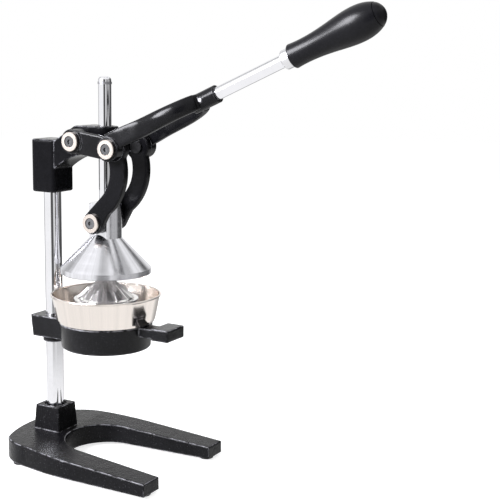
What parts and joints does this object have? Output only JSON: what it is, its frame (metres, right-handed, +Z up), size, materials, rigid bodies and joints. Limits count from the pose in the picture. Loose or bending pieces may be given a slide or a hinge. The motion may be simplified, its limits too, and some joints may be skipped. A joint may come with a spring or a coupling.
{
  "type": "lever citrus juice press",
  "caption": "Hand lever citrus press: a hinged handle moves a sliding rod and press cone over a ribbed reamer, in a bowl with a spout, on a notched base",
  "frame": {"origin": "on the surface that the rubber feet stand on, under the middle of the whole press, 117 mm forward of the press rod's axis", "axes": "+Z is up, along the press rod; -Y is forward, the way the handle and the two prongs of the base point; X is sideways, and the plane X = 0 is the middle"},
  "size_m": [0.176, 0.4763, 0.5602],
  "materials": {
    "black_enamel": "gloss black enamel on a cast part, with the casting grain showing under it",
    "foot_rubber": "matt black moulded rubber",
    "bright_chrome": "polished chrome plate with upright bright and dark reflections",
    "zinc_steel": "plain zinc plated steel",
    "bush_brass": "turned bearing brass, almost all hidden",
    "pale_nickel": "satin nickel, slightly warm",
    "screw_steel": "satin steel, a little darker than the cap round it",
    "polished_aluminium": "turned and polished aluminium",
    "stainless_sheet": "polished stainless steel sheet",
    "black_grip": "smooth black plastic with a soft gloss"
  },
  "bodies": {
    "frame": {"base_casting": "black_enamel", "rubber_feet": "foot_rubber", "foot_screws": "zinc_steel", "post": "bright_chrome", "base_bolt": "zinc_steel", "base_washer": "zinc_steel", "top_bracket": "black_enamel", "bracket_set_screws": "zinc_steel", "guide_bushes": "bush_brass", "pivot_a_bushes": "bush_brass", "cup_ring": "black_enamel", "ring_clamp_screw": "zinc_steel"},
    "lever": {"lever_fork": "black_enamel", "pivot_shaft_a": "zinc_steel", "pivot_b_pins": "zinc_steel", "pivot_a_caps": "pale_nickel", "pivot_a_cap_screws": "screw_steel", "pivot_b_caps": "pale_nickel", "pivot_b_cap_screws": "screw_steel", "handle_bar": "bright_chrome", "handle_pin": "zinc_steel", "grip_ferrule": "pale_nickel", "handle_grip": "black_grip", "grip_end_plug": "black_grip"},
    "ram": {"press_cone": "polished_aluminium", "press_rod": "bright_chrome", "rod_stop_ring": "zinc_steel", "rod_set_screw": "zinc_steel", "pivot_c_bushes": "bush_brass"},
    "links": {"curved_link_right": "black_enamel", "curved_link_left": "black_enamel", "pivot_shaft_c": "zinc_steel", "pivot_c_caps": "pale_nickel", "pivot_c_cap_screws": "screw_steel"},
    "bowl": {"juice_bowl": "stainless_sheet"},
    "strainer_body": {"strainer": "stainless_sheet"}
  },
  "joints": [
    {"name": "lever_hinge", "type": "hinge", "parent": "frame", "child": "lever", "pos_m": [0, 0.1367, 0.401], "axis": [-1, 0, 0], "range_deg": [-20, 50]},
    {"name": "ram_slide", "type": "slide", "parent": "frame", "child": "ram", "axis": [0, 0, 1], "range_m": [-0.0167, 0.0415]},
    {"name": "links_turn", "type": "hinge", "parent": "ram", "child": "links", "pos_m": [0, 0.117, 0.3039], "axis": [-1, 0, 0], "range_deg": [-1.6, 3.9]},
    {"name": "bowl_turn", "type": "hinge", "parent": "frame", "child": "bowl", "pos_m": [0, 0.117, 0.18], "axis": [0, 0, 1], "continuous": true},
    {"name": "strainer_turn", "type": "hinge", "parent": "bowl", "child": "strainer_body", "pos_m": [0, 0.117, 0.19], "axis": [0, 0, 1], "continuous": true}
  ],
  "couplings": [
    {"joint": "ram_slide", "follows": "lever_hinge", "m_per_rad": 0.0474},
    {"joint": "links_turn", "follows": "lever_hinge", "ratio": 0.075}
  ]
}
